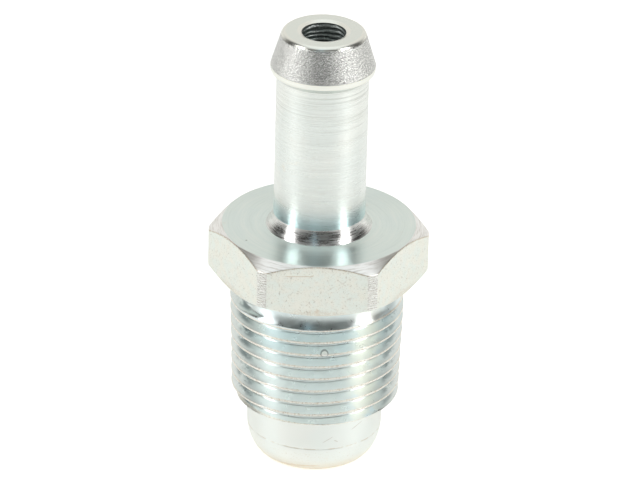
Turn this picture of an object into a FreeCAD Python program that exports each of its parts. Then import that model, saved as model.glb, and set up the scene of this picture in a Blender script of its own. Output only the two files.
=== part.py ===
import FreeCAD
import Part
import math
import os

# Crankcase ventilation valve: a steel body turned from hexagon bar, with a hose nipple above the
# hexagon and a taper pipe thread below it. A seat washer is rolled into the lower end. A sprung
# metering plunger lies on the washer. All lengths are in millimetres and angles in degrees.
# The origin is on the axis, in the plane of the rolled rim that the valve stands on. +Z points
# towards the nipple's tip, and two corners of the hexagon lie along X.

# Lengths along the axis, from the rolled rim up
pilot_length = 6.42
thread_length = 11.18
neck_length = 1.60
hex_height = 5.35
nipple_length = 20.54

# Hexagon: its corners are turned to a cylinder, and both ends are chamfered by a cone
hex_across_flats = 19.0
hex_corner_diameter = 21.4
hex_face_diameter = 18.8
hex_upper_chamfer_angle = 34.5
hex_lower_chamfer_angle = 29.0

# Taper pipe thread, 19 threads to the inch, with the flank angle of that form
thread_pitch = 1.337
thread_large_diameter = 17.07
thread_taper = 1.0 / 16.0
thread_flank_angle = 55.0
thread_depth_per_pitch = 0.6403
thread_groove_overshoot = 0.09
thread_lead_chamfer = 0.35
thread_end_angle = 205.0
thread_end_height = 0.24
thread_run_out_angle = 45.0
thread_run_out_rise = 0.98
neck_diameter = 15.2
neck_fillet_height = 0.75

# Hose nipple
stem_diameter = 8.92
stem_flare_diameter = 10.34
stem_flare_height = 1.33
stem_flare_hollow = 0.08
barb_diameter = 10.14
barb_cone_length = 3.51
barb_cone_angle = 17.0
barb_land_length = 0.55
barb_back_length = 0.50
tip_edge_radius = 0.75

# Passages through the body
outlet_bore_diameter = 4.30
outlet_mouth_width = 0.45
outlet_mouth_depth = 0.20
drill_point_angle = 118.0
orifice_diameter = 3.80
orifice_length = 2.90
orifice_chamfer = 0.20
chamber_diameter = 8.80
chamber_length = 17.30

# Pilot, with its lower end rolled in under the seat washer
pilot_diameter = 13.24
rim_roll_height = 3.60
rim_flat_diameter = 9.20
rim_flat_width = 0.40
rim_edge_radius = 0.20
rim_lip_thickness = 1.30

# Seat washer
washer_diameter = 10.8
washer_thickness = 1.0
washer_hole_diameter = 4.4
washer_edge_chamfer = 0.12
washer_clearance = 0.02

# Plunger
plunger_travel = 6.0
plunger_seat_clearance = 0.02
plunger_guide_clearance = 0.08
plunger_flange_thickness = 1.60
plunger_flange_chamfer = 0.25
plunger_flat_count = 3
plunger_flat_distance = 3.40
plunger_hub_height = 0.90
plunger_metering_clearance = 0.25
plunger_metering_depth = 1.10
plunger_nose_length = 5.60
plunger_nose_tip_diameter = 1.60
plunger_nose_tip_radius = 0.40

# Compression spring round the plunger
spring_wire_diameter = 0.44
spring_mean_diameter = 6.6
spring_turns = 6.5
spring_closed_turns = 1.0
spring_end_clearance = 0.02
spring_wire_sides = 8
spring_hub_clearance = 0.20

# Heights that follow from the lengths
thread_bottom_z = pilot_length
thread_top_z = thread_bottom_z + thread_length
hex_bottom_z = thread_top_z + neck_length
hex_top_z = hex_bottom_z + hex_height
tip_z = hex_top_z + nipple_length
washer_bottom_z = rim_lip_thickness
washer_top_z = washer_bottom_z + washer_thickness
chamber_bottom_z = washer_top_z + washer_clearance
chamber_top_z = chamber_bottom_z + chamber_length
orifice_top_z = chamber_top_z + orifice_length
plunger_bottom_z = washer_top_z + plunger_seat_clearance
flange_top_z = plunger_bottom_z + plunger_flange_thickness

# Radii that follow from the diameters
chamber_radius = chamber_diameter / 2
orifice_radius = orifice_diameter / 2
outlet_radius = outlet_bore_diameter / 2
stem_radius = stem_diameter / 2
barb_radius = barb_diameter / 2
pilot_radius = pilot_diameter / 2
neck_radius = neck_diameter / 2
washer_pocket_radius = washer_diameter / 2 + washer_clearance

axis_z = FreeCAD.Vector(0, 0, 1)
origin = FreeCAD.Vector(0, 0, 0)


def point(radius, height):
    """A point of the half section, which lies in the XZ plane."""
    return FreeCAD.Vector(radius, 0, height)


def line(start, end):
    return Part.LineSegment(start, end).toShape()


def turned(edges):
    """The solid that a closed half section sweeps when it turns about the axis."""
    face = Part.Face(Part.Wire(Part.__sortEdges__(edges)))
    solid = face.revolve(origin, axis_z, 360)
    return one_solid(solid)


def one_solid(shape):
    """The shape's only solid, with its faces turned outwards."""
    solid = shape.Solids[0]
    if solid.Volume < 0:
        solid.reverse()
    return solid


def polyline(corners):
    """The edges that join a list of points in turn."""
    return [line(a, b) for a, b in zip(corners, corners[1:])]


def crest_radius(height):
    """The thread's outer radius, which grows towards the hexagon."""
    return thread_large_diameter / 2 - (thread_top_z - height) * thread_taper / 2


def arc_tangent_to_wall(wall_radius, wall_z, end_radius, end_z):
    """An arc that leaves an upright wall smoothly and ends at a point further out."""
    run = end_radius - wall_radius
    rise = abs(end_z - wall_z)
    arc_radius = (run * run + rise * rise) / (2 * run)
    half_turn = math.atan2(run, rise)
    side = 1 if end_z > wall_z else -1
    middle = point(
        wall_radius + arc_radius * (1 - math.cos(half_turn)),
        wall_z + side * arc_radius * math.sin(half_turn),
    )
    return Part.Arc(point(wall_radius, wall_z), middle, point(end_radius, end_z)).toShape()


def outer_nipple_edges():
    """The nipple's outline from the hexagon's face to the rounded edge of its tip."""
    flare_top = point(stem_radius, hex_top_z + stem_flare_height)
    flare_foot = point(stem_flare_diameter / 2, hex_top_z)
    flare_run = flare_foot - flare_top
    hollow = FreeCAD.Vector(flare_run.z, 0, -flare_run.x)
    hollow.normalize()
    flare_middle = flare_top + flare_run * 0.5 + hollow * stem_flare_hollow
    flare = Part.Arc(flare_top, flare_middle, flare_foot).toShape()

    barb_cone_z = tip_z - barb_cone_length
    barb_back_z = barb_cone_z - barb_land_length
    stem_end_z = barb_back_z - barb_back_length
    slope = math.radians(barb_cone_angle)
    tip_corner = point(barb_radius - barb_cone_length * math.tan(slope), tip_z)
    # The tip's edge is an arc that meets the cone and the end face smoothly.
    setback = tip_edge_radius * math.tan((math.pi / 2 - slope) / 2)
    along_cone = FreeCAD.Vector(math.sin(slope), 0, -math.cos(slope))
    cone_end = tip_corner + along_cone * setback
    face_end = tip_corner - FreeCAD.Vector(setback, 0, 0)
    arc_centre = face_end - FreeCAD.Vector(0, 0, tip_edge_radius)
    outward = FreeCAD.Vector(math.cos(slope), 0, math.sin(slope)) + axis_z
    outward.normalize()
    tip_edge = Part.Arc(cone_end, arc_centre + outward * tip_edge_radius, face_end).toShape()

    straights = polyline([
        flare_top,
        point(stem_radius, stem_end_z),
        point(barb_radius, barb_back_z),
        point(barb_radius, barb_cone_z),
        cone_end,
    ])
    return [flare] + straights + [tip_edge], face_end


def bore_edges(face_end):
    """The passage's outline from the tip down to the pocket that holds the washer."""
    mouth = outlet_radius + outlet_mouth_width
    drill_run = (outlet_radius - orifice_radius) / math.tan(math.radians(drill_point_angle / 2))
    return polyline([
        face_end,
        point(mouth, tip_z),
        point(outlet_radius, tip_z - outlet_mouth_depth),
        point(outlet_radius, orifice_top_z + drill_run),
        point(orifice_radius, orifice_top_z),
        point(orifice_radius, chamber_top_z + orifice_chamfer),
        point(orifice_radius + orifice_chamfer, chamber_top_z),
        point(chamber_radius, chamber_top_z),
        point(chamber_radius, chamber_bottom_z),
        point(washer_pocket_radius, chamber_bottom_z),
        point(washer_pocket_radius, washer_bottom_z),
    ])


def rim_edges():
    """The rolled rim, from the washer's underside round the flat that it stands on."""
    flat_outer = point(rim_flat_diameter / 2, 0)
    flat_inner = point(rim_flat_diameter / 2 - rim_flat_width, 0)
    lip_radius = rim_flat_diameter / 2 - rim_flat_width - rim_edge_radius
    lip_lower = point(lip_radius, rim_edge_radius)
    lip_upper = point(lip_radius, washer_bottom_z)
    corner = math.sqrt(0.5)
    edge_middle = point(
        flat_inner.x - rim_edge_radius * corner, rim_edge_radius * (1 - corner)
    )
    # The outer curve is a quarter of an ellipse that leaves the pilot's wall smoothly.
    roll_width = pilot_radius - rim_flat_diameter / 2
    ellipse_centre = point(rim_flat_diameter / 2, rim_roll_height)
    if rim_roll_height > roll_width:
        ellipse = Part.Ellipse(
            point(rim_flat_diameter / 2, 0), point(pilot_radius, rim_roll_height), ellipse_centre
        )
    else:
        ellipse = Part.Ellipse(
            point(pilot_radius, rim_roll_height), point(rim_flat_diameter / 2, 0), ellipse_centre
        )
    first = ellipse.parameter(flat_outer)
    last = ellipse.parameter(point(pilot_radius, rim_roll_height))
    roll = ellipse.toShape(*sorted_span(ellipse, first, last))
    return [
        line(point(washer_pocket_radius, washer_bottom_z), lip_upper),
        line(lip_upper, lip_lower),
        Part.Arc(lip_lower, edge_middle, flat_inner).toShape(),
        line(flat_inner, flat_outer),
        roll,
    ]


def sorted_span(ellipse, first, last):
    """The two parameters in the order that gives the quarter turn between them."""
    turn = 2 * math.pi
    if (last - first) % turn < math.pi:
        return first, first + (last - first) % turn
    return last, last + (first - last) % turn


def lower_outline_edges():
    """The outline from the pilot's wall up past the thread and the neck to the hexagon."""
    chamfer_top_z = thread_bottom_z + thread_lead_chamfer
    end_crest = crest_radius(chamfer_top_z)
    fillet_top_z = thread_top_z + neck_fillet_height
    below_neck = polyline([
        point(pilot_radius, rim_roll_height),
        point(pilot_radius, thread_bottom_z),
        point(end_crest - thread_lead_chamfer, thread_bottom_z),
        point(end_crest, chamfer_top_z),
        point(crest_radius(thread_top_z), thread_top_z),
    ])
    neck_fillet = arc_tangent_to_wall(
        neck_radius, fillet_top_z, crest_radius(thread_top_z), thread_top_z
    )
    above_neck = polyline([
        point(neck_radius, fillet_top_z),
        point(neck_radius, hex_bottom_z),
        point(hex_face_diameter / 2, hex_bottom_z),
        point(hex_face_diameter / 2, hex_top_z),
        point(stem_flare_diameter / 2, hex_top_z),
    ])
    return below_neck + [neck_fillet] + above_neck


def turned_blank():
    """Everything that the lathe makes, with the hexagon as a plain disc inside its flats."""
    nipple, face_end = outer_nipple_edges()
    return turned(nipple + bore_edges(face_end) + rim_edges() + lower_outline_edges())


def hexagon():
    """The hexagon with turned corners and a cone at each end, bored to clear the passage."""
    corner_radius = hex_corner_diameter / 2
    face_radius = hex_face_diameter / 2
    chamfer_run = corner_radius - face_radius
    upper_bevel = chamfer_run * math.tan(math.radians(hex_upper_chamfer_angle))
    lower_bevel = chamfer_run * math.tan(math.radians(hex_lower_chamfer_angle))
    bore = chamber_radius + (face_radius - chamber_radius) / 2
    spool = turned(polyline([
        point(bore, hex_bottom_z),
        point(face_radius, hex_bottom_z),
        point(corner_radius, hex_bottom_z + lower_bevel),
        point(corner_radius, hex_top_z - upper_bevel),
        point(face_radius, hex_top_z),
        point(bore, hex_top_z),
        point(bore, hex_bottom_z),
    ]))
    sharp_radius = hex_across_flats / math.sqrt(3)
    corners = [
        FreeCAD.Vector(
            sharp_radius * math.cos(math.radians(60 * k)),
            sharp_radius * math.sin(math.radians(60 * k)),
            hex_bottom_z,
        )
        for k in range(7)
    ]
    prism = Part.Face(Part.makePolygon(corners)).extrude(axis_z * hex_height)
    return spool.common(prism)


def groove_section(radius, height):
    """The groove's section, with its mouth just outside the crest and a flat root."""
    slope = math.tan(math.radians(thread_flank_angle / 2))
    depth = thread_pitch * thread_depth_per_pitch
    overshoot = thread_groove_overshoot
    root_half = thread_pitch / 4 - depth / 2 * slope
    mouth_half = root_half + (depth + overshoot) * slope
    root = radius - depth
    lower_root = point(root, height - root_half)
    upper_root = point(root, height + root_half)
    lower_mouth = point(radius + overshoot, height - mouth_half)
    upper_mouth = point(radius + overshoot, height + mouth_half)
    return Part.Wire(polyline([
        lower_root, upper_root, upper_mouth, lower_mouth, lower_root
    ]))


def conical_sweep(height, start_radius, start_z, cone_half_angle):
    """The groove's section swept up a conical helix that starts on +X."""
    helix = Part.makeHelix(thread_pitch, height, start_radius, cone_half_angle)
    helix.translate(FreeCAD.Vector(0, 0, start_z))
    path = Part.Wire(helix.Edges)
    section = groove_section(start_radius, start_z)
    return one_solid(path.makePipeShell([section], True, True))


def thread_grooves():
    """The taper thread's groove, and the short run-out where the tool left the work."""
    end_z = thread_top_z - thread_end_height
    turns = math.ceil((end_z - thread_bottom_z) / thread_pitch + 1)
    height = turns * thread_pitch
    start_z = end_z - height
    taper_angle = math.degrees(math.atan(thread_taper / 2))
    groove = conical_sweep(height, crest_radius(start_z), start_z, taper_angle)

    rise = thread_pitch * thread_run_out_angle / 360
    run_out_angle = math.degrees(math.atan(thread_run_out_rise / rise))
    run_out = conical_sweep(rise, crest_radius(end_z), end_z, run_out_angle)
    for solid in (groove, run_out):
        solid.rotate(origin, axis_z, thread_end_angle)
    return [groove, run_out]


def valve_body():
    shape = turned_blank().fuse(hexagon()).removeSplitter()
    for groove in thread_grooves():
        shape = shape.cut(groove)
    return one_solid(shape)


def seat_washer():
    outer = washer_diameter / 2
    hole = washer_hole_diameter / 2
    top = washer_top_z
    edge = washer_edge_chamfer
    return turned(polyline([
        point(hole, washer_bottom_z),
        point(outer - edge, washer_bottom_z),
        point(outer, washer_bottom_z + edge),
        point(outer, top - edge),
        point(outer - edge, top),
        point(hole + edge, top),
        point(hole, top - edge),
        point(hole, washer_bottom_z),
    ]))


def plunger():
    """A flange with flats that lies on the washer, a shank and a tapered metering nose."""
    flange = chamber_radius - plunger_guide_clearance
    chamfer = plunger_flange_chamfer
    hub = spring_mean_diameter / 2 - spring_wire_diameter / 2 - spring_hub_clearance
    shank = orifice_radius - plunger_metering_clearance
    hub_top_z = flange_top_z + plunger_hub_height
    # At full travel the shank enters the orifice by the metering depth.
    shank_top_z = chamber_top_z + plunger_metering_depth - plunger_travel
    nose_top_z = shank_top_z + plunger_nose_length
    tip = plunger_nose_tip_diameter / 2
    round_tip = plunger_nose_tip_radius
    corner = math.sqrt(0.5)
    outline = polyline([
        point(0, nose_top_z),
        point(0, plunger_bottom_z),
        point(flange - chamfer, plunger_bottom_z),
        point(flange, plunger_bottom_z + chamfer),
        point(flange, flange_top_z),
        point(hub, flange_top_z),
        point(hub, hub_top_z),
        point(shank, hub_top_z),
        point(shank, shank_top_z),
        point(tip, nose_top_z - round_tip),
    ])
    tip_arc = Part.Arc(
        point(tip, nose_top_z - round_tip),
        point(tip - round_tip * (1 - corner), nose_top_z - round_tip * (1 - corner)),
        point(tip - round_tip, nose_top_z),
    ).toShape()
    outline += [tip_arc, line(point(tip - round_tip, nose_top_z), point(0, nose_top_z))]
    shape = turned(outline)
    block_width = 2 * chamber_radius
    for k in range(plunger_flat_count):
        block = Part.makeBox(
            block_width, block_width, plunger_flange_thickness,
            FreeCAD.Vector(plunger_flat_distance, -block_width / 2, plunger_bottom_z),
        )
        block.rotate(origin, axis_z, 90 + k * 360 / plunger_flat_count)
        shape = shape.cut(block)
    return one_solid(shape)


def helix_edges(start_turn, turns, pitch, start_z):
    """Part of the spring's centre line, which turns about the axis from +X."""
    helix = Part.makeHelix(pitch, pitch * turns, spring_mean_diameter / 2)
    helix.translate(FreeCAD.Vector(0, 0, start_z))
    helix.rotate(origin, axis_z, 360 * start_turn)
    return helix.Edges


def spring_path(bottom_z, top_z):
    """The centre line: a closed turn at each end and evenly spread turns between them."""
    closed = spring_closed_turns
    closed_rise = closed * spring_wire_diameter
    open_turns = spring_turns - 2 * closed
    open_pitch = (top_z - bottom_z - 2 * closed_rise) / open_turns
    edges = helix_edges(0, closed, spring_wire_diameter, bottom_z)
    edges += helix_edges(closed, open_turns, open_pitch, bottom_z + closed_rise)
    edges += helix_edges(
        spring_turns - closed, closed, spring_wire_diameter, top_z - closed_rise
    )
    return edges


def wire_section(centre, direction):
    """The wire's section, whose sides enclose the round wire's area."""
    side_angle = 2 * math.pi / spring_wire_sides
    equal_area = math.sqrt(side_angle / math.sin(side_angle))
    radius = spring_wire_diameter / 2 * equal_area
    across = FreeCAD.Vector(1, 0, 0)
    along = direction.cross(across)
    corners = []
    for k in range(spring_wire_sides + 1):
        angle = (k + 0.5) * side_angle
        corners.append(
            centre + across * (radius * math.cos(angle)) + along * (radius * math.sin(angle))
        )
    return Part.makePolygon(corners)


def plunger_spring():
    """A compression spring with closed ends, which are ground flat."""
    bottom_z = flange_top_z + spring_end_clearance
    top_z = chamber_top_z - spring_end_clearance
    edges = spring_path(bottom_z, top_z)
    first = edges[0]
    section = wire_section(
        first.valueAt(first.FirstParameter), first.tangentAt(first.FirstParameter)
    )
    wire = one_solid(Part.Wire(edges).makePipeShell([section], True, True))
    reach = spring_mean_diameter / 2 + spring_wire_diameter
    between = Part.makeCylinder(reach, top_z - bottom_z, point(0, bottom_z))
    return one_solid(wire.common(between))


def main():
    os.makedirs("parts", exist_ok=True)
    nodes = {
        "valve_body": valve_body(),
        "seat_washer": seat_washer(),
        "plunger": plunger(),
        "plunger_spring": plunger_spring(),
    }
    for name, shape in nodes.items():
        print(name, "valid", shape.isValid(), "volume", round(shape.Volume, 3))
        shape.exportStep("parts/" + name + ".step")


main()
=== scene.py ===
import math

import bpy
import numpy as np
from mathutils import Matrix, Vector


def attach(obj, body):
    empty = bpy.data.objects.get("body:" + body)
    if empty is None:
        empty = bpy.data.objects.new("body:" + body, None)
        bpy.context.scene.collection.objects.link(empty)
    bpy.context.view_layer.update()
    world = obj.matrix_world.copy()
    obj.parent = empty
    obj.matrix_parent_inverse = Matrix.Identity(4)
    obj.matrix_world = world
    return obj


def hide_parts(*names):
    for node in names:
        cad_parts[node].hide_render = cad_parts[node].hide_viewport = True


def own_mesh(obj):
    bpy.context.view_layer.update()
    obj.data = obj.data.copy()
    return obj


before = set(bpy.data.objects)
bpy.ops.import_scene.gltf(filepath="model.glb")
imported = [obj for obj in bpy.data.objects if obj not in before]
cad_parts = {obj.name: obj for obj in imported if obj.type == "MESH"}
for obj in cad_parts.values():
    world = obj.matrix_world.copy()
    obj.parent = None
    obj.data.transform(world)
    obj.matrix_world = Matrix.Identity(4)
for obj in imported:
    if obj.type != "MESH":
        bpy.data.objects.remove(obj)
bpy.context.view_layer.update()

# Crankcase ventilation valve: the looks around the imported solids.
# Sizes are in millimetres, as on a drawing, and mm turns them into metres.

mm = 0.001
print("frame loaded:", sorted(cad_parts))


# Shapes

def ellipseRun(centre, radii, degrees):
    # centre plus (a cos t, b sin t)
    t = np.radians(degrees)
    return np.stack([centre[0] + radii[0] * np.cos(t), centre[1] + radii[1] * np.sin(t)], 1)


def hollowRun(start, end, hollow, steps):
    # a straight line less a shallow parabola: hollow times 4 t (1 - t), at a right angle
    t = np.linspace(0, 1, steps)[:, None]
    run = np.asarray(end) - np.asarray(start)
    inward = np.array([run[1], -run[0]]) / np.linalg.norm(run)
    return np.asarray(start) + run * t + inward * (hollow * 4 * t * (1 - t))


def softOutline(corners, reaches, turnSteps=5, marks=(0.1, 0.5, 0.9)):
    # straight sides joined by quadratic curves that start a reach before each corner
    rows = [corners[0]]
    for k in range(1, len(corners) - 1):
        back = corners[k - 1] - corners[k]
        ahead = corners[k + 1] - corners[k]
        backLength = np.linalg.norm(back, axis=-1, keepdims=True)
        aheadLength = np.linalg.norm(ahead, axis=-1, keepdims=True)
        cut = np.minimum(reaches[k], 0.42 * np.minimum(backLength, aheadLength))
        start = corners[k] + back / backLength * cut
        end = corners[k] + ahead / aheadLength * cut
        last = rows[-1]
        rows += [last + (start - last) * mark for mark in marks]
        rows += [start * (1 - t) ** 2 + corners[k] * 2 * t * (1 - t) + end * t * t
                 for t in np.linspace(0, 1, turnSteps)]
    last = rows[-1]
    rows += [last + (corners[-1] - last) * mark for mark in marks + (1.0,)]
    return np.array(rows)


hexagon = {"bottom": 19.20, "top": 24.55, "flatDistance": 9.50, "cornerRadius": 10.70,
           "faceRadius": 9.40, "lowerAngle": 29.0, "upperAngle": 34.5, "edge": 0.07,
           "cornerSoft": 0.05}


def columnAngles():
    # angles about the axis, closer together beside the hexagon's turned corners
    half = 30 - math.degrees(math.acos(hexagon["flatDistance"] / hexagon["cornerRadius"]))
    steps = np.array([0, 0.4, 0.75, 0.9, 1, 1.1, 1.25, 1.6, 2.3, 3.2, 4.2, 5.25, 6.35, 7.45,
                      8.55, 9.6, 10.55])
    side = np.append(steps * half, 30)
    sector = np.concatenate([side, 60 - side[-2:0:-1]])
    return np.radians((sector[None, :] + 60 * np.arange(6)[:, None]).ravel())


def valueNoise(position, seed, count=997):
    # random heights joined by smooth steps, one every unit of position
    heights = np.random.default_rng(seed).random(count)
    cell = np.floor(position).astype(int)
    share = position - cell
    share = share * share * (3 - 2 * share)
    return heights[cell % count] * (1 - share) + heights[(cell + 1) % count] * share


def softMinimum(a, b, soft):
    # the lesser of two values, with the kink between them rounded
    return 0.5 * (a + b - np.sqrt((a - b) ** 2 + soft * soft))


angles = columnAngles()
columns = len(angles)


thread = {"pitch": 1.337, "bottom": 6.42, "top": 17.60, "largeRadius": 8.535, "taper": 1 / 32,
          "flank": 27.5, "depth": 0.856, "lead": 0.35, "endAngle": 205.0, "endBelow": 0.09,
          "runOut": 45.0, "rootSoft": 0.10, "crestSoft": 0.04, "wear": 0.045, "seed": 11}

neck = {"radius": 8.02, "filletTop": 18.70, "fillet": 2.65}


def grooveHeight(theta):
    # the groove's centre climbs one pitch for each turn and ends at a stated angle
    turns = (theta - math.radians(thread["endAngle"])) / (2 * math.pi)
    return thread["top"] - thread["endBelow"] + thread["pitch"] * turns


def blankRadius(z):
    # the taper, with a chamfer at its foot and a hollow fillet up to the neck
    taperRadius = thread["largeRadius"] - (thread["top"] - z) * thread["taper"]
    foot = thread["largeRadius"] - (thread["top"] - thread["bottom"]) * thread["taper"]
    chamfer = foot - thread["lead"] + z - thread["bottom"]
    arc = neck["fillet"]
    drop = np.clip(neck["filletTop"] - z, 0, arc)
    fillet = neck["radius"] + arc - np.sqrt(arc * arc - drop * drop)
    return softMinimum(softMinimum(taperRadius, chamfer, 0.03), fillet, 0.03)


def threadRadius(z, theta):
    # the blank, less a groove with straight flanks, a rounded root and worn crests
    offset = (z - grooveHeight(theta)) / thread["pitch"]
    turn = np.round(offset)
    across = np.abs(offset - turn) * thread["pitch"]
    unwound = np.degrees(theta) - thread["endAngle"] + 360 * turn
    slope = math.tan(math.radians(thread["flank"]))
    rootHalf = thread["pitch"] / 4 - thread["depth"] / 2 * slope
    climb = (across - rootHalf) / slope
    climb = 0.5 * (climb + np.sqrt(climb ** 2 + thread["rootSoft"] ** 2))
    lift = np.clip(unwound / thread["runOut"], 0, 2) * 1.15 * thread["depth"]
    taperRadius = thread["largeRadius"] - (thread["top"] - z) * thread["taper"]
    groove = taperRadius - thread["depth"] - 0.02 + climb + lift
    alongCrest = np.degrees(theta) + 360 * np.floor(offset) + 360 * 20
    worn = 0.55 * valueNoise(alongCrest / 2.1, thread["seed"])
    worn = worn + 0.45 * valueNoise(alongCrest / 9.0, thread["seed"] + 1)
    worn = np.clip(worn * 1.6 - 0.5, 0, 1) * thread["wear"]
    blank = blankRadius(z)
    overLast = offset + np.where(np.degrees(theta) > thread["endAngle"], 1, 0)
    onCrest = np.clip((0.64 - overLast) / 0.10, 0, 1)
    return softMinimum(blank - worn * onCrest, groove, thread["crestSoft"])


def threadRows():
    # rows that follow the helix, gathered at the groove's root and at the crest's edges
    pitch = thread["pitch"]
    half = np.array([0, 0.055, 0.11, 0.165, 0.24, 0.34, 0.44, 0.50, 0.535, 0.565, 0.60])
    phases = np.concatenate([half, [pitch / 2], pitch - half[:0:-1]])
    first = math.floor((thread["bottom"] - grooveHeight(0.0)) / pitch) - 1
    last = math.ceil((neck["filletTop"] - grooveHeight(0.0)) / pitch) + 1
    turns = np.arange(first, last + 1)
    heights = grooveHeight(0.0) + (turns[:, None] * pitch + phases[None, :]).ravel()
    return heights, len(phases)


def hexagonWall(theta):
    # the flat's distance over the cosine from its middle, cut off by the turned corners
    fromMiddle = np.mod(np.degrees(theta), 60) - 30
    flat = hexagon["flatDistance"] / np.cos(np.radians(fromMiddle))
    return softMinimum(flat, hexagon["cornerRadius"], hexagon["cornerSoft"])


pilot = {"radius": 6.62, "rollTop": 3.60, "flatRadius": 4.60, "lipRadius": 4.00,
         "lipEdge": 0.20, "lipTop": 1.30, "crimpHeight": 3.08, "crimpDepth": 0.03,
         "crimpWidth": 0.06}

nipple = {"stemRadius": 4.46, "flareRadius": 5.17, "flareHeight": 1.33, "flareHollow": 0.08,
          "barbRadius": 5.07, "tip": 45.09, "coneLength": 3.51, "coneAngle": 17.0,
          "landLength": 0.55, "backLength": 0.50, "tipEdge": 0.555}

passage = {"outletRadius": 2.15, "mouthWidth": 0.45, "mouthDepth": 0.20, "drillEnd": 22.67,
           "orificeRadius": 1.90, "orificeTop": 22.52, "chamberTop": 19.62,
           "orificeChamfer": 0.20, "chamberBottom": 2.32, "chamberRadius": 4.40,
           "pocketRadius": 5.42}


def ringBlocks():
    # the blocks of rings in order, from the lip under the washer round to the lip again
    def ring(r, z):
        pair = np.stack(np.broadcast_arrays(np.asarray(r, float), np.asarray(z, float)), -1)
        return np.broadcast_to(pair, (columns, 2)).copy()

    def rings(points):
        return np.repeat(np.asarray(points)[:, None, :], columns, 1)

    lip = softOutline([ring(pilot["lipRadius"], pilot["lipTop"]), ring(pilot["lipRadius"], 0),
                       ring(pilot["flatRadius"], 0)], [0, pilot["lipEdge"], 0])
    height = pilot["rollTop"]
    crimpAngle = math.degrees(math.asin(pilot["crimpHeight"] / height - 1))
    degrees = np.sort(np.concatenate([np.linspace(-90, 0, 22),
                                      crimpAngle + np.linspace(-3, 3, 13)]))
    roll = ellipseRun((pilot["flatRadius"], height),
                      (pilot["radius"] - pilot["flatRadius"], height), degrees)
    crimp = (roll[:, 1] - pilot["crimpHeight"]) / pilot["crimpWidth"]
    roll[:, 0] -= pilot["crimpDepth"] * np.exp(-crimp ** 2)
    footRadius = threadRadius(np.full(columns, thread["bottom"]), angles)
    wall = softOutline([ring(pilot["radius"], height), ring(pilot["radius"], thread["bottom"]),
                        ring(footRadius, thread["bottom"])], [0, 0.06, 0])

    spread = hexagonWall(angles)
    chamferRun = spread - hexagon["faceRadius"]
    low = hexagon["bottom"] + chamferRun * math.tan(math.radians(hexagon["lowerAngle"]))
    high = hexagon["top"] - chamferRun * math.tan(math.radians(hexagon["upperAngle"]))
    edge = hexagon["edge"]
    nut = softOutline([ring(neck["radius"], neck["filletTop"]),
                       ring(neck["radius"], hexagon["bottom"]),
                       ring(hexagon["faceRadius"], hexagon["bottom"]), ring(spread, low),
                       ring(spread, high), ring(hexagon["faceRadius"], hexagon["top"]),
                       ring(nipple["flareRadius"], hexagon["top"])],
                      [0, 0.10, 0.05, edge, edge, 0.05, 0])

    flareTop = hexagon["top"] + nipple["flareHeight"]
    flare = hollowRun((nipple["stemRadius"], flareTop),
                      (nipple["flareRadius"], hexagon["top"]), nipple["flareHollow"], 16)[::-1]

    coneFoot = nipple["tip"] - nipple["coneLength"]
    landFoot = coneFoot - nipple["landLength"]
    shoulder = landFoot - nipple["backLength"]
    tipRadius = nipple["barbRadius"] - nipple["coneLength"] * math.tan(
        math.radians(nipple["coneAngle"]))
    mouthRadius = passage["outletRadius"] + passage["mouthWidth"]
    outer = softOutline([ring(nipple["stemRadius"], flareTop),
                         ring(nipple["stemRadius"], flareTop + 0.06),
                         ring(nipple["stemRadius"], shoulder),
                         ring(nipple["barbRadius"], landFoot),
                         ring(nipple["barbRadius"], coneFoot),
                         ring(tipRadius, nipple["tip"]), ring(mouthRadius, nipple["tip"]),
                         ring(passage["outletRadius"], nipple["tip"] - passage["mouthDepth"])],
                        [0, 0.02, 0.10, 0.16, 0.06, nipple["tipEdge"], 0.18, 0], 9)
    mouthFoot = nipple["tip"] - passage["mouthDepth"]
    mouth = softOutline([ring(passage["outletRadius"], mouthFoot),
                         ring(passage["outletRadius"], mouthFoot - 0.05),
                         ring(passage["outletRadius"], passage["drillEnd"])], [0, 0.02, 0], 4)
    inner = softOutline([ring(passage["outletRadius"], passage["drillEnd"]),
                         ring(passage["orificeRadius"], passage["orificeTop"]),
                         ring(passage["orificeRadius"],
                              passage["chamberTop"] + passage["orificeChamfer"]),
                         ring(passage["orificeRadius"] + passage["orificeChamfer"],
                              passage["chamberTop"]),
                         ring(passage["chamberRadius"], passage["chamberTop"]),
                         ring(passage["chamberRadius"], passage["chamberBottom"]),
                         ring(passage["pocketRadius"], passage["chamberBottom"]),
                         ring(passage["pocketRadius"], pilot["lipTop"]),
                         ring(pilot["lipRadius"], pilot["lipTop"])],
                        [0, 0.04, 0.04, 0.04, 0.04, 0.04, 0.04, 0.04, 0], 3, (0.5,))
    return [("lip", lip), ("roll", rings(roll)), ("pilotWall", wall), ("nut", nut),
            ("flare", rings(flare)), ("outer", outer), ("mouth", mouth), ("inner", inner)]


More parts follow.
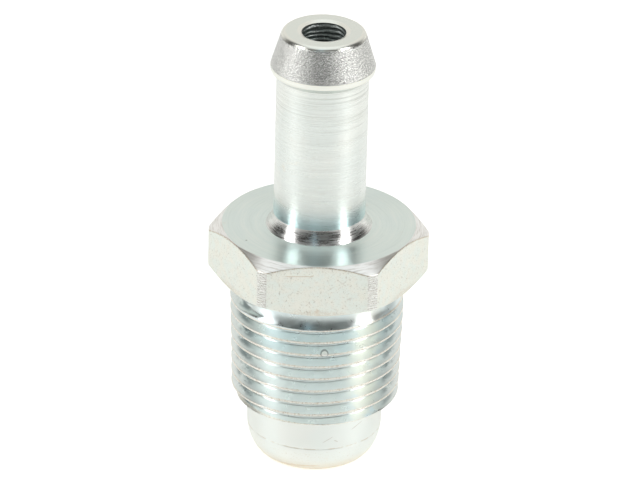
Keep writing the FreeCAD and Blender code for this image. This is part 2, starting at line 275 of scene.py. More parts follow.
def ringCells(block, firstVertex, slot, zeroRow):
    # quads between neighbouring rings; a sheet place is the way along the outline from the
    # zero row, in millimetres, and the turn about the axis
    rows = len(block)
    corner = np.arange(rows - 1)[:, None] * columns + np.arange(columns)[None, :]
    beside = np.arange(rows - 1)[:, None] * columns + (np.arange(columns)[None, :] + 1) % columns
    faces = np.stack([corner, beside, beside + columns, corner + columns], -1) + firstVertex
    step = np.linalg.norm(np.diff(block, axis=0), axis=-1)
    length = np.concatenate([np.zeros((1, columns)), np.cumsum(step, 0)])
    length = length - length[zeroRow]
    ahead = np.roll(length, -1, axis=1)
    turn = np.append(angles, 2 * math.pi) / (2 * math.pi)
    left = np.broadcast_to(turn[None, :-1], corner.shape)
    right = np.broadcast_to(turn[None, 1:], corner.shape)
    sheet = np.stack([np.stack([length[:-1], left], -1), np.stack([ahead[:-1], right], -1),
                      np.stack([ahead[1:], right], -1), np.stack([length[1:], left], -1)], 2)
    slots = np.full(faces.shape[:2], slot)
    return faces.reshape(-1, 4), sheet.reshape(-1, 4, 2), slots.ravel()


def threadCells(firstVertex, slot):
    # a strip whose last column joins its first column one turn higher
    rows, perTurn = threadRows()
    theta = angles[None, :]
    z = rows[:, None] + thread["pitch"] * theta / (2 * math.pi)
    z = np.clip(z, thread["bottom"], neck["filletTop"])
    r = threadRadius(z, np.broadcast_to(theta, z.shape))
    points = np.stack([r * np.cos(theta), r * np.sin(theta), z], -1).reshape(-1, 3)
    used = len(rows) - perTurn - 1
    row = np.arange(used)[:, None]
    column = np.arange(columns)[None, :]
    nextColumn = (column + 1) % columns
    shift = np.where(column + 1 == columns, perTurn, 0)
    faces = np.stack([row * columns + column, (row + shift) * columns + nextColumn,
                      (row + 1 + shift) * columns + nextColumn, (row + 1) * columns + column], -1)
    turn = np.append(angles, 2 * math.pi) / (2 * math.pi)
    heights = z.ravel()[faces]
    left = np.broadcast_to(turn[:-1][None, :], faces.shape[:2])
    right = np.broadcast_to(turn[1:][None, :], faces.shape[:2])
    sheet = np.stack([heights, np.stack([left, right, right, left], -1)], -1)
    slots = np.full(faces.shape[:2], slot)
    return points, (faces + firstVertex).reshape(-1, 4), sheet.reshape(-1, 4, 2), slots.ravel()


def weldedMesh(name, points, faces, sheet, slots):
    # points that share a place become one, and sides and faces with no size are left out
    _, first, same = np.unique(np.round(points, 4), axis=0, return_index=True,
                               return_inverse=True)
    points = points[first]
    faces = same.ravel()[faces]
    keep = faces != np.roll(faces, -1, axis=1)
    whole = keep.sum(1) >= 3
    faces, sheet, slots, keep = faces[whole], sheet[whole], slots[whole], keep[whole]
    totals = keep.sum(1)
    mesh = bpy.data.meshes.new(name)
    mesh.vertices.add(len(points))
    mesh.vertices.foreach_set("co", (points * mm).astype(np.float32).ravel())
    mesh.loops.add(int(totals.sum()))
    mesh.loops.foreach_set("vertex_index", faces[keep].astype(np.int32))
    mesh.polygons.add(len(totals))
    mesh.polygons.foreach_set("loop_start", (np.cumsum(totals) - totals).astype(np.int32))
    mesh.polygons.foreach_set("material_index", slots.astype(np.int32))
    layer = mesh.uv_layers.new(name="sheet")
    layer.data.foreach_set("uv", sheet[keep].astype(np.float32).ravel())
    mesh.update(calc_edges=True)
    mesh.validate()
    mesh.shade_smooth()
    mesh.set_sharp_from_angle(angle=math.radians(32))
    return mesh


# the ring in the middle of the curve round the hexagon's upper edge
nutEdgeRow = 30

slotNames = ["threadZinc", "turnedZinc", "barZinc", "cornerZinc", "faceZinc", "boreZinc",
             "pilotZinc", "barbZinc"]
blockSlots = {"lip": "pilotZinc", "roll": "pilotZinc", "pilotWall": "pilotZinc",
              "nut": "faceZinc", "flare": "turnedZinc", "outer": "turnedZinc",
              "mouth": "boreZinc", "inner": "boreZinc"}


def bodySlots(points, faces, slots):
    # the hexagon's wall is bar stock, apart from its turned corners, and the barb is brighter
    centre = points[faces].mean(1)
    radius = np.hypot(centre[:, 0], centre[:, 1])
    theta = np.arctan2(centre[:, 1], centre[:, 0])
    spread = hexagonWall(theta)
    onNut = slots == slotNames.index("faceZinc")
    chamferRun = spread - hexagon["faceRadius"]
    low = hexagon["bottom"] + chamferRun * math.tan(math.radians(hexagon["lowerAngle"]))
    high = hexagon["top"] - chamferRun * math.tan(math.radians(hexagon["upperAngle"]))
    wall = onNut & (centre[:, 2] > low) & (centre[:, 2] < high) & (radius > spread - 0.05)
    corner = spread > hexagon["cornerRadius"] - 0.045
    slots = np.where(wall, slotNames.index("barZinc"), slots)
    slots = np.where(wall & corner, slotNames.index("cornerZinc"), slots)
    shoulder = nipple["tip"] - nipple["coneLength"] - nipple["landLength"]
    onBarb = (slots == slotNames.index("turnedZinc")) & (centre[:, 2] > shoulder)
    return np.where(onBarb, slotNames.index("barbZinc"), slots)


def bodySkin():
    # every ring and the thread's strip in one closed surface
    points = []
    faces = []
    sheet = []
    slots = []
    count = 0
    for name, block in ringBlocks():
        r = block[..., 0]
        z = block[..., 1]
        ringPoints = np.stack([r * np.cos(angles), r * np.sin(angles), z], -1).reshape(-1, 3)
        zeroRow = nutEdgeRow if name == "nut" else 0
        cells = ringCells(block, count, slotNames.index(blockSlots[name]), zeroRow)
        points.append(ringPoints)
        faces.append(cells[0])
        sheet.append(cells[1])
        slots.append(cells[2])
        count += len(ringPoints)
    strip = threadCells(count, slotNames.index("threadZinc"))
    points = np.concatenate(points + [strip[0]])
    faces = np.concatenate(faces + [strip[1]])
    sheet = np.concatenate(sheet + [strip[2]])
    slots = bodySlots(points, faces, np.concatenate(slots + [strip[3]]))
    mesh = weldedMesh("valveBodySkin", points, faces, sheet, slots)
    piece = bpy.data.objects.new("valveBodySkin", mesh)
    bpy.context.scene.collection.objects.link(piece)
    return piece


spring = {"bottom": 3.94, "top": 19.60, "radius": 3.30, "wire": 0.22, "turns": 6.5,
          "closed": 1.0, "stepsPerTurn": 64, "sides": 14, "travel": 6.0}


def springSkin():
    # a tube round a helix whose end turns lie close, cut off flat at both ends
    turns = np.linspace(0, spring["turns"], int(spring["turns"] * spring["stepsPerTurn"]) + 1)
    wire = spring["wire"]
    span = spring["top"] - spring["bottom"]
    openTurns = spring["turns"] - 2 * spring["closed"]
    openRate = (span - 4 * wire * spring["closed"]) / openTurns
    inside = np.clip(np.minimum(turns - spring["closed"],
                                spring["turns"] - spring["closed"] - turns) / 0.25, 0, 1)
    inside = inside * inside * (3 - 2 * inside)
    rate = 2 * wire + (openRate - 2 * wire) * inside
    height = np.concatenate([[0], np.cumsum(0.5 * (rate[1:] + rate[:-1]) * np.diff(turns))])
    height = spring["bottom"] + height * span / height[-1]
    phi = 2 * math.pi * turns[:, None]
    around = np.linspace(0, 2 * math.pi, spring["sides"], endpoint=False)[None, :]
    r = spring["radius"] + wire * np.cos(around)
    z = np.clip(height[:, None] + wire * np.sin(around), spring["bottom"], spring["top"])
    points = np.stack([r * np.cos(phi), r * np.sin(phi), np.broadcast_to(z, (len(turns),
                       spring["sides"]))], -1)
    rows, sides = points.shape[:2]
    corner = np.arange(rows - 1)[:, None] * sides + np.arange(sides)[None, :]
    beside = np.arange(rows - 1)[:, None] * sides + (np.arange(sides)[None, :] + 1) % sides
    faces = np.stack([corner, corner + sides, beside + sides, beside], -1).reshape(-1, 4)
    ends = [list(range(sides)), list(range(rows * sides - 1, (rows - 1) * sides - 1, -1))]
    mesh = bpy.data.meshes.new("plungerSpringSkin")
    mesh.from_pydata((points.reshape(-1, 3) * mm).tolist(), [], faces.tolist() + ends)
    mesh.shade_smooth()
    piece = bpy.data.objects.new("plungerSpringSkin", mesh)
    bpy.context.scene.collection.objects.link(piece)
    return piece


# Finishes

class Wire:
    # a value between shader nodes: + - * / make Math nodes, and node() makes any other kind
    def __init__(self, tree, socket):
        self.tree = tree
        self.socket = socket

    def plug(self, socket, value):
        if isinstance(value, Wire):
            self.tree.links.new(value.socket, socket)
        else:
            socket.default_value = value

    def node(self, kind, inputs, settings=None, output=0):
        made = self.tree.nodes.new(kind)
        for name, value in (settings or {}).items():
            setattr(made, name, value)
        for name, value in inputs.items():
            self.plug(made.inputs[name], value)
        return Wire(self.tree, made.outputs[output])

    def maths(self, operation, *others):
        inputs = dict(enumerate((self,) + others))
        return self.node("ShaderNodeMath", inputs, {"operation": operation})

    def __add__(self, other):
        return self.maths("ADD", other)

    def __sub__(self, other):
        return self.maths("SUBTRACT", other)

    def __rsub__(self, other):
        return self.node("ShaderNodeMath", {0: other, 1: self}, {"operation": "SUBTRACT"})

    def __mul__(self, other):
        return self.maths("MULTIPLY", other)

    def __truediv__(self, other):
        return self.maths("DIVIDE", other)

    def __rtruediv__(self, other):
        return self.node("ShaderNodeMath", {0: other, 1: self}, {"operation": "DIVIDE"})

    __radd__ = __add__
    __rmul__ = __mul__

    def step(self, low, high, toLow=0.0, toHigh=1.0):
        # a smooth climb from toLow to toHigh while the value goes from low to high
        return self.node("ShaderNodeMapRange", {"Value": self, "From Min": low,
                         "From Max": high, "To Min": toLow, "To Max": toHigh},
                         {"interpolation_type": "SMOOTHSTEP"})

    def part(self, axis):
        return self.node("ShaderNodeSeparateXYZ", {0: self}, output=axis)

    def stretch(self, x, y, z):
        return self.node("ShaderNodeMapping", {"Vector": self, "Scale": (x, y, z)})

    def noise(self, scale, detail=3.0, rough=0.55):
        return self.node("ShaderNodeTexNoise", {"Vector": self, "Scale": scale,
                         "Detail": detail, "Roughness": rough})

    def length(self, other):
        # the length of the flat vector made of this value and another
        return (self * self + other * other).maths("SQRT")

    def blendColour(self, low, high):
        # low where this value is 0 and high where it is 1
        return self.node("ShaderNodeMix", {0: self, 6: low, 7: high},
                         {"data_type": "RGBA"}, 2)

    def blendValue(self, low, high):
        return self.node("ShaderNodeMix", {0: self, 2: low, 3: high})


class Finish:
    # a material with one metal shader, and places on the object and on the sheet in millimetres
    def __init__(self, name):
        self.material = bpy.data.materials.new(name)
        self.material.use_nodes = True
        self.tree = self.material.node_tree
        self.tree.nodes.clear()
        output = self.tree.nodes.new("ShaderNodeOutputMaterial")
        self.shader = self.tree.nodes.new("ShaderNodeBsdfPrincipled")
        self.tree.links.new(self.shader.outputs[0], output.inputs["Surface"])
        places = self.tree.nodes.new("ShaderNodeTexCoord")
        metres = Wire(self.tree, places.outputs["Object"])
        self.place = metres.stretch(1 / mm, 1 / mm, 1 / mm)
        self.x = self.place.part(0)
        self.y = self.place.part(1)
        self.z = self.place.part(2)
        self.sheet = Wire(self.tree, places.outputs["UV"])
        self.along = self.sheet.part(0)

    def set(self, **values):
        for name, value in values.items():
            self.place.plug(self.shader.inputs[name.replace("_", " ")], value)

    def grain(self, anisotropy):
        # the highlight spreads along the outline, across the tool's marks
        way = self.place.node("ShaderNodeTangent", {},
                              {"direction_type": "UV_MAP", "uv_map": "sheet"})
        self.place.plug(self.shader.inputs["Tangent"], way)
        self.shader.inputs["Anisotropic"].default_value = anisotropy

    def bump(self, height, distance):
        raised = self.place.node("ShaderNodeBump", {"Height": height,
                                 "Distance": distance * mm, "Strength": 1.0})
        self.place.plug(self.shader.inputs["Normal"], raised)

    def mark(self, across, up, mark):
        # 1 inside a slanting mark, which is frayed or round: its distances along and across
        # are the two places, turned by its slant
        slant = math.radians(mark["slant"])
        right = across - mark["middle"][0]
        above = up - mark["middle"][1]
        fray = (self.place.noise(mark.get("fray", 6.0), 3.0) - 0.5) * mark.get("ragged", 1.0)
        lengthwise = (right * math.cos(slant) + above * math.sin(slant)).maths("ABSOLUTE")
        sideways = (above * math.cos(slant) - right * math.sin(slant)
                    + fray * mark["size"][1]).maths("ABSOLUTE")
        half = mark["size"][0] / 2
        thick = mark["size"][1] / 2
        if mark.get("round"):
            inside = (lengthwise / half).length(sideways / thick).step(0.75, 1.0, 1.0, 0.0)
        else:
            inside = lengthwise.step(half * 0.6, half, 1.0, 0.0)
            inside = inside * sideways.step(thick * 0.3, thick, 1.0, 0.0)
        return inside * self.y.step(-1.0, 0.0, mark["strength"], 0.0)


def tinted(finish, pale, deep, stained, stainFrom=0.62):
    # clear passivation: a slow drift between two pale tints, with faint stains
    drift = finish.place.noise(0.18, 2.0).step(0.38, 0.62)
    stain = finish.place.noise(0.42, 5.0, 0.7).step(stainFrom, stainFrom + 0.16)
    return stain.blendColour(drift.blendColour(pale, deep), stained)


def toolRings(finish, fine, coarse):
    # the turning tool's rings: fine and coarse bands along the outline, broken round the turn
    thin = finish.sheet.stretch(fine, 3.0, 1.0).noise(1.0, 4.0, 0.7)
    wide = finish.sheet.stretch(coarse, 1.2, 1.0).noise(1.0, 2.0, 0.5)
    return thin + wide * 0.6


def turnedRings(finish, fine, around):
    # true circles about the axis, broken round the turn
    radius = finish.x.length(finish.y)
    place = finish.place.node("ShaderNodeCombineXYZ", {0: radius * fine,
                              1: finish.x / radius * around, 2: finish.y / radius * around})
    return place.noise(1.0, 4.0, 0.65)


def stemFinish():
    # the nipple's stem and flare: satin rings, and a bluer painted reflection of the hexagon's
    # face on the stem just over the flare
    finish = Finish("turnedZinc")
    rings = toolRings(finish, 9.0, 1.3)
    base = tinted(finish, (0.86, 0.88, 0.84, 1), (0.82, 0.86, 0.83, 1), (0.82, 0.79, 0.71, 1))
    dots = finish.place.noise(4.2, 4.0, 0.7).step(0.60, 0.70, 0.0, 0.5)
    base = dots.blendColour(base, (0.72, 0.66, 0.56, 1))
    shoulder = nipple["tip"] - nipple["coneLength"] - nipple["landLength"]
    lines = finish.sheet.stretch(7.0, 1.6, 1.0).noise(1.0, 3.0, 0.6).step(0.50, 0.60)
    lines = lines * finish.z.step(shoulder - 8.0, shoulder - 2.2, 0.12, 0.60)
    base = lines.blendColour(base, (0.60, 0.62, 0.58, 1))
    fromFace = finish.z - hexagon["top"]
    # painted reflection: up to 3.6 mm over the face, the stem is tinted bluer as the hexagon's
    # face mirrored in it
    faceReflection = fromFace.step(nipple["flareHeight"] + 0.2, 3.6, 0.85, 0.0)
    base = faceReflection.blendColour(base, (0.70, 0.88, 0.91, 1))
    onFlare = fromFace.step(nipple["flareHeight"] - 0.04, nipple["flareHeight"], 1.0, 0.0)
    grit = finish.sheet.stretch(5.0, 14.0, 1.0).noise(1.0, 3.0, 0.6)
    streaks = grit.step(0.42, 0.62).blendColour((0.78, 0.77, 0.75, 1), (0.93, 0.94, 0.92, 1))
    base = onFlare.blendColour(base, streaks)
    rough = rings.step(0.5, 1.1, 0.24, 0.33)
    finish.set(Base_Color=base, Metallic=1.0,
               Roughness=onFlare.blendValue(rough, grit.step(0.35, 0.65, 0.22, 0.34)))
    finish.grain(0.70)
    finish.bump(rings + onFlare * grit * 0.8, 0.005)
    return finish.material


def faceFinish():
    # the hexagon's turned face and the cone at its corners: circular brush lines, and painted
    # shade on the two front corners' cones
    finish = Finish("faceZinc")
    rings = turnedRings(finish, 6.0, 1.6) + turnedRings(finish, 1.4, 0.8) * 0.6
    base = tinted(finish, (0.80, 0.885, 0.845, 1), (0.78, 0.87, 0.84, 1), (0.74, 0.76, 0.68, 1))
    onCone = (finish.x.length(finish.y)).step(hexagon["faceRadius"] - 0.02,
                                               hexagon["faceRadius"] + 0.02)
    sparkle = finish.place.noise(9.0, 3.0, 0.7)
    scored = turnedRings(finish, 8.0, 5.0)
    # painted shade: on the two front corners the cone darkens towards its outer ends
    outerChamferShade = finish.x.maths("ABSOLUTE").step(5.0, 6.5) * finish.y.step(-6.0, -5.5, 1.0, 0.0)
    cut = outerChamferShade.blendColour((1.0, 1.0, 0.98, 1), (0.78, 0.77, 0.73, 1))
    cut = scored.step(0.32, 0.56).blendColour((0.72, 0.70, 0.66, 1), cut)
    base = onCone.blendColour(base, cut)
    circles = rings.step(0.78, 0.98) * (1 - onCone)
    base = (circles * 0.30).blendColour(base, (0.93, 0.96, 0.91, 1))
    dark = rings.step(0.62, 0.78, 0.18, 0.0) * (1 - onCone)
    base = dark.blendColour(base, (0.60, 0.68, 0.65, 1))
    worn = finish.along.maths("ABSOLUTE").step(0.03, 0.10, 1.0, 0.0) * sparkle.step(0.4, 0.6)
    base = worn.blendColour(base, (0.80, 0.72, 0.60, 1))
    for mark in faceMarks:
        base = finish.mark(finish.x, finish.y, mark).blendColour(base, mark["colour"])
    rough = rings.step(0.5, 1.1, 0.30, 0.40)
    finish.set(Base_Color=base, Metallic=1.0, Roughness=onCone.blendValue(rough, 0.30))
    finish.grain(0.62)
    finish.bump(onCone.blendValue(rings * 1.8, rings + scored * 2.2), 0.010)
    return finish.material


def barFinish():
    # the flats of drawn bar under zinc: matt, with fine pits, scratches and a stain
    finish = Finish("barZinc")
    pits = finish.place.noise(4.6, 4.0, 0.65)
    speckle = finish.place.noise(11.0, 2.0, 0.6)
    blotch = finish.place.noise(0.9, 3.0, 0.6)
    base = blotch.step(0.35, 0.65).blendColour((0.955, 0.955, 0.875, 1), (0.92, 0.96, 0.90, 1))
    base = speckle.step(0.56, 0.70).blendColour(base, (0.80, 0.79, 0.71, 1))
    base = (pits.step(0.60, 0.68) * 0.75).blendColour(base, (0.60, 0.57, 0.50, 1))
    edge = finish.along.step(-0.16, 0.0) + finish.along.step(-4.9, -4.4, 0.35, 0.0)
    frayed = edge * finish.place.noise(7.0, 3.0, 0.7).step(0.38, 0.55)
    base = frayed.blendColour(base, (0.66, 0.55, 0.42, 1))
    for mark in flatMarks:
        base = finish.mark(finish.x, finish.z, mark).blendColour(base, mark["colour"])
    finish.set(Base_Color=base, Metallic=0.78, Roughness=pits.step(0.3, 0.7, 0.44, 0.58))
    finish.bump(pits * 0.9 + speckle * 0.5 + blotch, 0.022)
    return finish.material


def cornerFinish():
    # the turned corners, with the tool's coarse feed torn into uneven ridges
    finish = Finish("cornerZinc")
    waver = finish.place.noise(2.0, 3.0, 0.6)
    lines = ((finish.z + waver * 0.42) * (2 * math.pi / 0.24)).maths("SINE")
    torn = (lines * 0.5 + finish.place.noise(6.0, 3.0, 0.7) * 1.4)
    base = torn.step(0.05, 0.40).blendColour((0.56, 0.51, 0.43, 1), (1.0, 1.0, 0.95, 1))
    finish.set(Base_Color=base, Metallic=0.55, Roughness=0.38)
    finish.bump(torn, 0.045)
    return finish.material


def threadFinish():
    # smooth blue-grey flanks with a painted highlight at the front right and painted shade
    # streaked along the grooves at the left and right, and crests worn to cream with frayed edges
    finish = Finish("threadZinc")
    radius = finish.x.length(finish.y)
    below = (finish.z - thread["top"]) * thread["taper"] + thread["largeRadius"] - radius
    speckle = finish.place.noise(5.0, 4.0, 0.7)
    crest = (below + (speckle - 0.5) * 0.10).step(0.030, 0.075, 1.0, 0.0)
    bearing = finish.y.maths("ARCTAN2", finish.x) * (0.5 / math.pi)
    bearing = bearing + bearing.maths("LESS_THAN", thread["endAngle"] / 360 - 1)
    lastGroove = ((bearing - thread["endAngle"] / 360) * thread["pitch"]
                  + (thread["top"] - thread["endBelow"]))
    overGroove = finish.z - lastGroove + (speckle - 0.5) * 0.16
    edge = overGroove.step(0.50, 0.56) * overGroove.step(0.66, 0.76, 1.0, 0.0)
    crest = (crest * overGroove.step(0.40, 0.50, 1.0, 0.0)).maths("MAXIMUM", edge)
    foot = (finish.z + (speckle - 0.5) * 0.10).step(thread["bottom"] + 0.16,
                                                    thread["bottom"] + 0.22, 0.9, 0.0)
    crest = crest.maths("MAXIMUM", foot)
    drift = finish.place.noise(0.22, 2.0).step(0.35, 0.65)
    flank = drift.blendColour((0.80, 0.895, 0.90, 1), (0.84, 0.90, 0.88, 1))
    flank = finish.z.step(12.0, 15.5, 0.8, 0.0).blendColour(flank, (0.91, 0.965, 0.95, 1))
    # painted highlight on the flanks at the front right, tinted in the passivation film's
    # changing colours
    tintedHighlight = finish.x.step(2.6, 4.6) * finish.x.step(5.4, 6.8, 1.0, 0.0)
    tintedHighlight = tintedHighlight * finish.y.step(-5.0, -3.0, 1.0, 0.0)
    film = (finish.place.noise(0.5, 2.0) * 9.0).maths("SINE").step(-0.6, 0.6)
    film = film.blendColour((0.95, 0.95, 0.85, 1), (0.82, 0.94, 1.0, 1))
    flank = (tintedHighlight * 0.5).blendColour(flank, film)
    # painted shade: dark streaks along the grooves near the thread's left and right sides, on the
    # flanks and roots
    shadeStreaks = finish.place.stretch(0.5, 0.5, 2.2).noise(0.9, 4.0, 0.65).step(0.38, 0.54)
    nearLeft = finish.x.step(-8.0, -7.2) * finish.x.step(-6.9, -5.6, 1.0, 0.0)
    sideShade = shadeStreaks * nearLeft * finish.y.step(-1.0, 0.5, 0.85, 0.0)
    nearRight = finish.x.step(6.3, 6.9) * finish.x.step(7.3, 8.0, 1.0, 0.0)
    sideShade = sideShade + shadeStreaks * nearRight * finish.y.step(-1.0, 0.5, 0.6, 0.0)
    sideShade = sideShade * below.step(0.15, 0.5)
    flank = sideShade.blendColour(flank, (0.26, 0.31, 0.32, 1))
    worn = speckle.step(0.33, 0.55).blendColour((0.78, 0.71, 0.60, 1), (1.0, 0.975, 0.90, 1))
    base = crest.blendColour(flank, worn)
    for mark in threadMarks:
        base = finish.mark(finish.x, finish.z, mark).blendColour(base, mark["colour"])
    ripple = finish.place.noise(1.4, 3.0, 0.6)
    finish.set(Base_Color=base, Metallic=crest.blendValue(1.0, 0.75),
               Roughness=crest.blendValue(ripple.step(0.3, 0.7, 0.27, 0.35), 0.40))
    finish.grain(0.75)
    onNeck = overGroove.step(0.66, 0.90, 1.0, 0.25)
    finish.bump(ripple * onNeck * 0.5 + crest * speckle * 1.2, 0.014)
    return finish.material


def boreFinish():
    # a drilled wall in shadow, with uneven ridges left by the drill; its colour is darkened as
    # painted shade, most in the ridges' troughs
    finish = Finish("boreZinc")
    waver = finish.place.noise(0.9, 2.0)
    ridges = ((finish.z + waver * 0.5) * (2 * math.pi / 0.46)).maths("SINE")
    grit = finish.place.noise(5.0, 4.0, 0.7)
    mouth = finish.z.step(nipple["tip"] - 0.5, nipple["tip"] - 0.2)
    base = (ridges * 0.5 + grit).step(0.2, 1.0).blendColour((0.44, 0.48, 0.47, 1),
                                                           (0.84, 0.88, 0.86, 1))
    finish.set(Base_Color=mouth.blendColour(base, (0.62, 0.66, 0.62, 1)), Metallic=1.0,
               Roughness=grit.step(0.3, 0.7, 0.26, 0.42))
    finish.bump(ridges * 0.5 + grit * 1.2, 0.04)
    return finish.material


def pilotFinish():
    # satin, with a painted warm reflection towards the rolled end, and a wavy line where the
    # rolling tool stopped
    finish = Finish("pilotZinc")
    rings = toolRings(finish, 5.0, 1.2)
    base = tinted(finish, (0.97, 0.985, 0.94, 1), (0.95, 0.985, 0.95, 1), (0.94, 0.91, 0.82, 1))
    speckle = finish.place.noise(5.5, 4.0, 0.65)
    rolled = finish.z.step(pilot["crimpHeight"] - 0.6, pilot["crimpHeight"], 1.0, 0.0)
    grained = (speckle.step(0.58, 0.68) * rolled * 0.5)
    base = grained.blendColour(base, (0.78, 0.72, 0.60, 1))
    # painted reflection: warm towards the bottom, peach at the very bottom edge
    base = finish.z.step(0.15, 1.9, 1.0, 0.0).blendColour(base, (1.0, 0.95, 0.83, 1))
    base = finish.z.step(0.0, 0.55, 0.8, 0.0).blendColour(base, (1.0, 0.88, 0.70, 1))
    waver = finish.place.noise(0.7, 3.0) - 0.5
    line = (finish.z - pilot["crimpHeight"] + waver * 0.14).maths("ABSOLUTE")
    line = line.step(0.02, 0.09, 0.6, 0.0) * finish.place.noise(1.3, 3.0).step(0.36, 0.60)
    base = line.blendColour(base, (0.72, 0.62, 0.50, 1))
    for mark in pilotMarks:
        base = finish.mark(finish.x, finish.z, mark).blendColour(base, mark["colour"])
    metal = finish.z.step(0.3, 2.4, 0.75, 0.88)
    finish.set(Base_Color=base, Metallic=metal, Roughness=rings.step(0.5, 1.1, 0.33, 0.42))
    finish.grain(0.45)
    finish.bump(rings * 0.5 + speckle * rolled, 0.006)
    return finish.material


def barbFinish():
    # the barb's cone and the tip, a brighter cut: grey, torn into small crystals on the cone
    finish = Finish("barbZinc")
    rings = toolRings(finish, 7.0, 1.6)
    crystals = finish.place.noise(9.0, 3.0, 0.7)
    coneFoot = nipple["tip"] - nipple["coneLength"]
    onCone = finish.z.step(coneFoot - 0.03, coneFoot + 0.03)
    onCone = onCone * finish.z.step(nipple["tip"] - 0.5, nipple["tip"] - 0.3, 1.0, 0.0)
    onFace = finish.z.step(nipple["tip"] - 0.05, nipple["tip"] - 0.01)
    grey = crystals.step(0.36, 0.62).blendColour((0.42, 0.42, 0.40, 1), (0.84, 0.84, 0.82, 1))
    base = onCone.blendColour((0.90, 0.905, 0.84, 1), grey)
    base = onFace.blendColour(base, (0.84, 0.875, 0.82, 1))
    rough = onCone.blendValue(0.26, crystals.step(0.3, 0.7, 0.15, 0.24))
    finish.set(Base_Color=base, Metallic=1.0, Roughness=rough)
    finish.grain(0.15)
    finish.bump(onCone.blendValue(rings * 0.5, rings * 1.6 + crystals * 3.4), 0.015)
    return finish.material


def plainMetal(name, colour, roughness, scale):
    finish = Finish(name)
    cloud = finish.place.noise(scale, 4.0)
    darker = tuple(0.86 * c for c in colour[:3]) + (1,)
    finish.set(Base_Color=cloud.step(0.35, 0.65).blendColour(darker, colour), Metallic=1.0,
               Roughness=cloud.step(0.3, 0.7, roughness * 0.8, roughness * 1.25))
    finish.bump(cloud, 0.004)
    return finish.material


# marks that the photograph shows: middle and size in millimetres, slant in degrees
brown = (0.60, 0.48, 0.34, 1)
dull = (0.55, 0.50, 0.42, 1)
flatMarks = [
    {"middle": (-1.9, 23.46), "size": (3.0, 0.09), "slant": 1.5, "strength": 0.75,
     "colour": brown},
    {"middle": (-0.55, 23.52), "size": (0.5, 0.22), "slant": 30, "strength": 0.4,
     "colour": brown},
    {"middle": (0.03, 19.75), "size": (0.55, 0.50), "slant": 50, "strength": 0.75,
     "colour": (0.78, 0.70, 0.58, 1)},
    {"middle": (2.3, 22.9), "size": (1.4, 0.10), "slant": -38, "strength": 0.35,
     "colour": dull},
    {"middle": (1.4, 22.3), "size": (0.9, 0.08), "slant": 35, "strength": 0.35,
     "colour": dull},
    {"middle": (-2.6, 21.5), "size": (0.8, 0.08), "slant": 40, "strength": 0.35,
     "colour": dull},
    {"middle": (3.1, 21.2), "size": (0.6, 0.30), "slant": 20, "strength": 0.30,
     "colour": dull}]
faceMarks = [{"middle": (-6.95, -4.23), "size": (0.22, 0.20), "slant": 0, "strength": 0.8,
              "colour": (0.20, 0.19, 0.16, 1)}]
# the two round marks on the thread paint a small bump: a dark ring of painted shade round a pale
# painted highlight
threadMarks = [
    {"middle": (0.84, 14.55), "size": (0.90, 0.64), "slant": 0, "strength": 0.85,
     "colour": (0.30, 0.31, 0.30, 1), "ragged": 0.0, "round": True},
    {"middle": (0.86, 14.52), "size": (0.68, 0.46), "slant": 0, "strength": 1.0,
     "colour": (1.0, 0.99, 0.94, 1), "ragged": 0.0, "round": True}]
pilotMarks = [
    {"middle": (-1.4, 0.80), "size": (4.6, 0.34), "slant": 4, "strength": 0.7,
     "colour": (0.88, 0.76, 0.60, 1), "fray": 1.6},
    {"middle": (4.2, 5.10), "size": (1.3, 0.08), "slant": 28, "strength": 0.6,
     "colour": dull},
    {"middle": (1.4, 4.12), "size": (1.3, 0.09), "slant": 30, "strength": 0.5,
     "colour": dull},
    {"middle": (2.2, 3.9), "size": (0.5, 0.12), "slant": -30, "strength": 0.5,
     "colour": dull}]


def bodyFinishes():
    made = {"threadZinc": threadFinish(), "turnedZinc": stemFinish(), "barZinc": barFinish(),
            "cornerZinc": cornerFinish(), "faceZinc": faceFinish(), "boreZinc": boreFinish(),
            "pilotZinc": pilotFinish(), "barbZinc": barbFinish()}
    return [made[name] for name in slotNames]


# The room

# how brightly the sheet shows to the camera and in the metal; distances in metres
paper = {"reach": 3.0, "colour": (0.93, 0.93, 0.92, 1), "glow": (1, 0.99, 0.96, 1),
         "seen": 0.60, "near": 0.27, "aside": 0.50, "asideFrom": 0.05, "asideTo": 0.30,
         "close": 0.10, "closeFrom": 0.007, "closeTo": 0.012}


def floorSheet():
    # a wide pale sheet at the height that the valve stands on
    mesh = bpy.data.meshes.new("floor")
    reach = paper["reach"]
    mesh.from_pydata([(-reach, -reach, 0), (reach, -reach, 0), (reach, reach, 0),
                      (-reach, reach, 0)], [], [(0, 1, 2, 3)])
    piece = bpy.data.objects.new("floor", mesh)
    bpy.context.scene.collection.objects.link(piece)
    material = bpy.data.materials.new("floorPaper")
    material.use_nodes = True
    tree = material.node_tree
    tree.nodes.clear()
    output = tree.nodes.new("ShaderNodeOutputMaterial")
    rays = tree.nodes.new("ShaderNodeLightPath")
    seen = Wire(tree, rays.outputs["Is Camera Ray"])
    mirrored = Wire(tree, rays.outputs["Is Glossy Ray"]) + Wire(
        tree, rays.outputs["Is Transmission Ray"])
    place = Wire(tree, tree.nodes.new("ShaderNodeTexCoord").outputs["Object"])
    sideways = place.part(0).maths("ABSOLUTE")
    fromAxis = sideways.length(place.part(1))
    shine = fromAxis.step(paper["asideFrom"], paper["asideTo"], 0.0, paper["aside"])
    shine = shine * (sideways / fromAxis).step(0.4, 0.9) + paper["near"]
    shine = shine + fromAxis.step(paper["closeFrom"], paper["closeTo"], paper["close"], 0.0)
    matt = seen.node("ShaderNodeBsdfDiffuse", {"Color": paper["colour"]})
    glow = seen.node("ShaderNodeEmission", {"Color": paper["glow"],
                     "Strength": seen * paper["seen"] + mirrored * shine})
    both = seen.node("ShaderNodeAddShader", {0: matt, 1: glow})
    tree.links.new(both.socket, output.inputs["Surface"])
    mesh.materials.append(material)


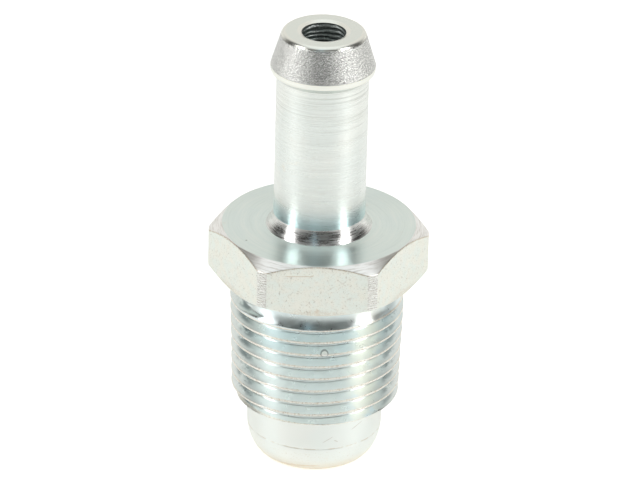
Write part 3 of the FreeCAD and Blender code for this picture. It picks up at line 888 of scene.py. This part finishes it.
# the light that the metal mirrors: front, back, top, and a bluish gap at an angle
room = {"front": 0.03, "back": 0.80, "top": 0.95, "gapAngle": -10.6, "gap": 0.8,
        "sideTint": (1.0, 0.985, 0.95, 1), "topTint": (0.96, 1.0, 1.0, 1),
        "gapTint": (0.55, 0.86, 1.0, 1)}


def roomLight():
    # white to the camera; to the metal a white sweep behind, a dim room in front, light above
    world = bpy.data.worlds.new("room")
    world.use_nodes = True
    bpy.context.scene.world = world
    tree = world.node_tree
    tree.nodes.clear()
    output = tree.nodes.new("ShaderNodeOutputWorld")
    direction = Wire(tree, tree.nodes.new("ShaderNodeTexCoord").outputs["Generated"])
    rays = tree.nodes.new("ShaderNodeLightPath")
    seen = Wire(tree, rays.outputs["Is Camera Ray"]).maths(
        "MAXIMUM", Wire(tree, rays.outputs["Is Transmission Ray"]))
    across, behind, height = [direction.part(axis) for axis in range(3)]
    turned = behind / (across.length(behind) + 0.0001)
    side = turned.step(0.30, 0.80, room["front"], room["back"])
    above = height.step(0.72, 0.95)
    level = above.blendValue(side, room["top"])
    bearing = across.maths("ARCTAN2", -1 * behind)
    gap = (bearing - math.radians(room["gapAngle"])).maths("ABSOLUTE")
    gap = gap.step(0.02, 0.06, 1.0, 0.0) * height.step(0.2, 0.3)
    level = seen.maths("MAXIMUM", level + gap * room["gap"])
    tint = above.blendColour(room["sideTint"], room["topTint"])
    tint = gap.blendColour(tint, room["gapTint"])
    shown = seen.blendColour(tint, (1, 1, 1, 1))
    light = direction.node("ShaderNodeBackground", {"Color": shown, "Strength": level})
    tree.links.new(light.socket, output.inputs["Surface"])


lamps = {"left": {"angle": -70.0, "power": 1.6}, "right": {"angle": 65.0, "power": 1.8},
         "height": 330.0, "distance": 620.0, "size": (200.0, 560.0)}


def softBoxes():
    # two upright soft boxes, left and right of the camera; an angle is from the camera's side
    for name in ("left", "right"):
        lamp = bpy.data.lights.new("softBox." + name, "AREA")
        lamp.shape = "RECTANGLE"
        lamp.size = lamps["size"][0] * mm
        lamp.size_y = lamps["size"][1] * mm
        lamp.energy = lamps[name]["power"]
        piece = bpy.data.objects.new("softBox." + name, lamp)
        turn = math.radians(lamps[name]["angle"])
        reach = lamps["distance"]
        place = Vector((math.sin(turn) * reach, -math.cos(turn) * reach, lamps["height"])) * mm
        piece.location = place
        aim = Vector((0, 0, 20 * mm)) - place
        piece.rotation_euler = aim.to_track_quat("-Z", "Y").to_euler()
        piece.visible_camera = False
        bpy.context.scene.collection.objects.link(piece)


camera = {"place": (0.0, -543.99, 297.76), "target": (0.14, 0.0, 22.65), "roll": 1.50,
          "lens": 353.4, "sensor": 36.0}


def placeCamera():
    # the photograph's view, rolled about the line of sight
    lens = bpy.data.cameras.new("camera")
    lens.lens = camera["lens"]
    lens.sensor_width = camera["sensor"]
    lens.clip_start = 0.01
    lens.clip_end = 20
    place = Vector(camera["place"]) * mm
    ahead = (Vector(camera["target"]) * mm - place).normalized()
    right = ahead.cross(Vector((0, 0, 1))).normalized()
    up = right.cross(ahead)
    roll = math.radians(camera["roll"])
    right, up = (right * math.cos(roll) + up * math.sin(roll),
                 up * math.cos(roll) - right * math.sin(roll))
    turn = Matrix((right, up, -ahead)).transposed()
    piece = bpy.data.objects.new("camera", lens)
    piece.matrix_world = Matrix.Translation(place) @ turn.to_4x4()
    bpy.context.scene.collection.objects.link(piece)
    bpy.context.scene.camera = piece


bpy.context.scene.view_settings.view_transform = "Standard"
placeCamera()
floorSheet()
roomLight()
softBoxes()
print("room, lamps and camera placed")

body = bodySkin()
for material in bodyFinishes():
    body.data.materials.append(material)
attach(body, "body")
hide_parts("valve_body")
print("body skin:", len(body.data.polygons), "faces")

coil = springSkin()
coil.data.materials.append(plainMetal("springSteel", (0.55, 0.56, 0.56, 1), 0.3, 0.9))
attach(coil, "body")
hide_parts("plunger_spring")
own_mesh(coil)
print("spring coiled")

innerFinishes = {"seat_washer": plainMetal("washerSteel", (0.72, 0.73, 0.72, 1), 0.35, 0.7),
                 "plunger": plainMetal("plungerBrass", (0.79, 0.66, 0.38, 1), 0.3, 0.7)}
for name, material in innerFinishes.items():
    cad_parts[name].data.materials.clear()
    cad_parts[name].data.materials.append(material)
print("inner pieces finished")
